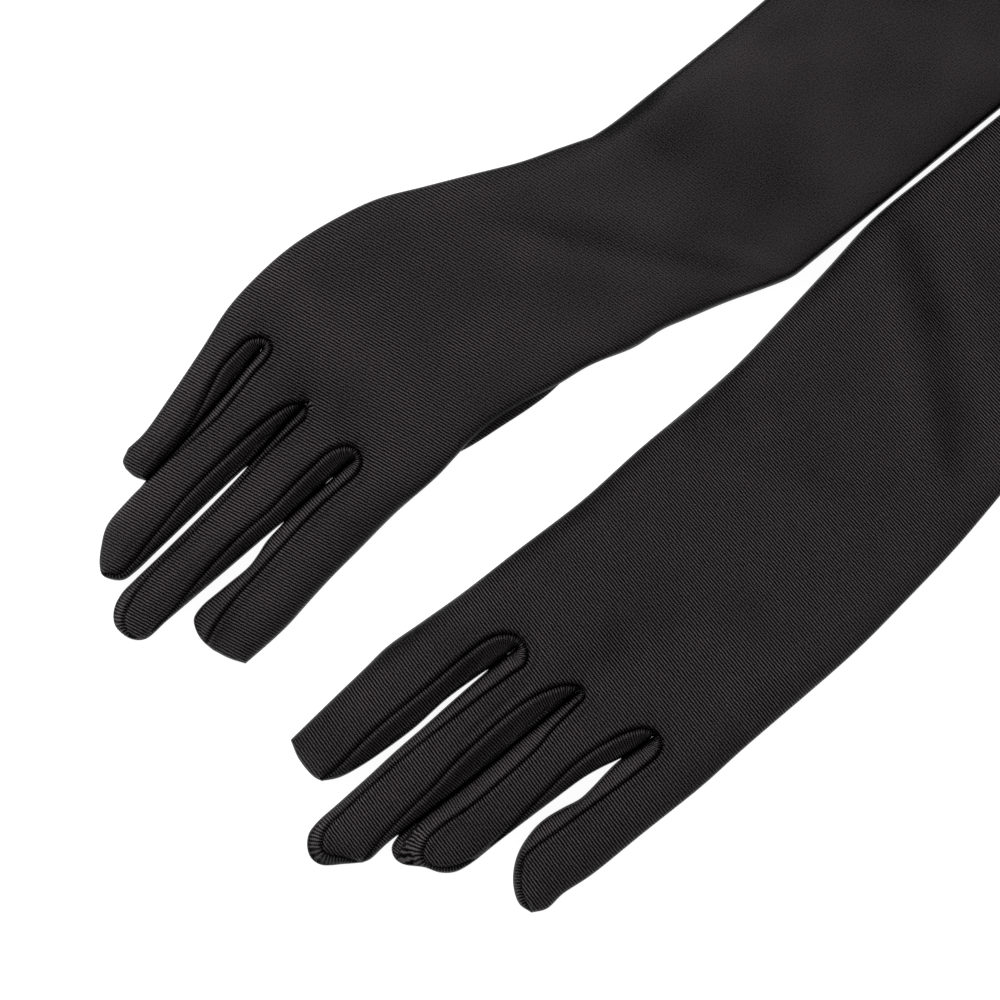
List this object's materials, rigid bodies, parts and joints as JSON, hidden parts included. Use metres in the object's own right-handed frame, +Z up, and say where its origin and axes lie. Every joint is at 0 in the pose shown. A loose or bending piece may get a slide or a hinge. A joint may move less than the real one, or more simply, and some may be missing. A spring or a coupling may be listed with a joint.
{
  "type": "opera gloves",
  "caption": "Pair of long black stretch-satin gloves lying flat, backs of the hands up, with forked strips between the fingers and sleeves that reach the upper arm.",
  "frame": {"origin": "under the middle of the pair, on the surface the gloves lie on", "axes": "+X from the fingertips to the arm openings, +Y from the left glove to the right glove, +Z up, out of the backs of the hands"},
  "size_m": [0.552, 0.221, 0.01],
  "materials": {
    "satin": "semi-matt black stretch satin with fine cross ribs",
    "satin_fourchette": "the same satin cut into narrow forked strips, ribs across",
    "overlock_thread": "black overlock thread over raw cloth edges"
  },
  "bodies": {
    "right_hand": {"right_hand_trank": "satin", "right_hand_side_seam": "overlock_thread", "right_fork_index_middle": "satin_fourchette", "right_fork_middle_ring": "satin_fourchette", "right_fork_ring_little": "satin_fourchette", "right_thumb_hole_seam": "overlock_thread"},
    "right_index": {"right_index_trank": "satin", "right_index_fourchette": "satin_fourchette"},
    "right_middle": {"right_middle_back": "satin", "right_middle_palm": "satin", "right_middle_near_fourchette": "satin_fourchette", "right_middle_far_fourchette": "satin_fourchette"},
    "right_ring": {"right_ring_back": "satin", "right_ring_palm": "satin", "right_ring_near_fourchette": "satin_fourchette", "right_ring_far_fourchette": "satin_fourchette"},
    "right_little": {"right_little_back": "satin", "right_little_palm": "satin", "right_little_fourchette": "satin_fourchette", "right_little_side_seam": "overlock_thread"},
    "right_thumb": {"right_thumb": "satin"},
    "right_sleeve": {"right_sleeve_trank": "satin", "right_sleeve_side_seam": "overlock_thread", "right_hem": "satin"},
    "left_hand": {"left_hand_trank": "satin", "left_hand_side_seam": "overlock_thread", "left_fork_index_middle": "satin_fourchette", "left_fork_middle_ring": "satin_fourchette", "left_fork_ring_little": "satin_fourchette", "left_thumb_hole_seam": "overlock_thread"},
    "left_index": {"left_index_trank": "satin", "left_index_fourchette": "satin_fourchette"},
    "left_middle": {"left_middle_back": "satin", "left_middle_palm": "satin", "left_middle_near_fourchette": "satin_fourchette", "left_middle_far_fourchette": "satin_fourchette"},
    "left_ring": {"left_ring_back": "satin", "left_ring_palm": "satin", "left_ring_near_fourchette": "satin_fourchette", "left_ring_far_fourchette": "satin_fourchette"},
    "left_little": {"left_little_back": "satin", "left_little_palm": "satin", "left_little_fourchette": "satin_fourchette", "left_little_side_seam": "overlock_thread"},
    "left_thumb": {"left_thumb": "satin"},
    "left_sleeve": {"left_sleeve_trank": "satin", "left_sleeve_side_seam": "overlock_thread", "left_hem": "satin"}
  },
  "joints": [
    {"name": "right_index_fold", "type": "hinge", "parent": "right_hand", "child": "right_index", "pos_m": [-0.19, 0.031, 0.0105], "axis": [0, 1, 0], "range_deg": [0, 90]},
    {"name": "right_middle_fold", "type": "hinge", "parent": "right_hand", "child": "right_middle", "pos_m": [-0.19, 0.0524, 0.0105], "axis": [0, 1, 0], "range_deg": [0, 90]},
    {"name": "right_ring_fold", "type": "hinge", "parent": "right_hand", "child": "right_ring", "pos_m": [-0.19, 0.0737, 0.0105], "axis": [0, 1, 0], "range_deg": [0, 90]},
    {"name": "right_little_fold", "type": "hinge", "parent": "right_hand", "child": "right_little", "pos_m": [-0.19, 0.0928, 0.0105], "axis": [0, 1, 0], "range_deg": [0, 90]},
    {"name": "right_thumb_swing", "type": "hinge", "parent": "right_hand", "child": "right_thumb", "pos_m": [-0.117, 0.028, 0], "axis": [0, 0, 1], "range_deg": [0, 35]},
    {"name": "right_sleeve_fold", "type": "hinge", "parent": "right_hand", "child": "right_sleeve", "pos_m": [0.061, 0.04, 0.011], "axis": [0, -1, 0], "range_deg": [0, 180]},
    {"name": "left_index_fold", "type": "hinge", "parent": "left_hand", "child": "left_index", "pos_m": [-0.188, -0.0208, 0.0105], "axis": [0, 1, 0], "range_deg": [0, 90]},
    {"name": "left_middle_fold", "type": "hinge", "parent": "left_hand", "child": "left_middle", "pos_m": [-0.188, -0.0432, 0.0105], "axis": [0, 1, 0], "range_deg": [0, 90]},
    {"name": "left_ring_fold", "type": "hinge", "parent": "left_hand", "child": "left_ring", "pos_m": [-0.182, -0.0664, 0.0105], "axis": [0, 1, 0], "range_deg": [0, 90]},
    {"name": "left_little_fold", "type": "hinge", "parent": "left_hand", "child": "left_little", "pos_m": [-0.173, -0.09, 0.0105], "axis": [0, 1, 0], "range_deg": [0, 90]},
    {"name": "left_thumb_swing", "type": "hinge", "parent": "left_hand", "child": "left_thumb", "pos_m": [-0.117, -0.0225, 0], "axis": [0, 0, -1], "range_deg": [0, 35]},
    {"name": "left_sleeve_fold", "type": "hinge", "parent": "left_hand", "child": "left_sleeve", "pos_m": [0.061, -0.044, 0.011], "axis": [0, -1, 0], "range_deg": [0, 180]},
    {"name": "left_glove_lift", "type": "slide", "parent": "right_hand", "child": "left_hand", "axis": [0, 0, 1], "range_m": [0, 0.06]}
  ]
}
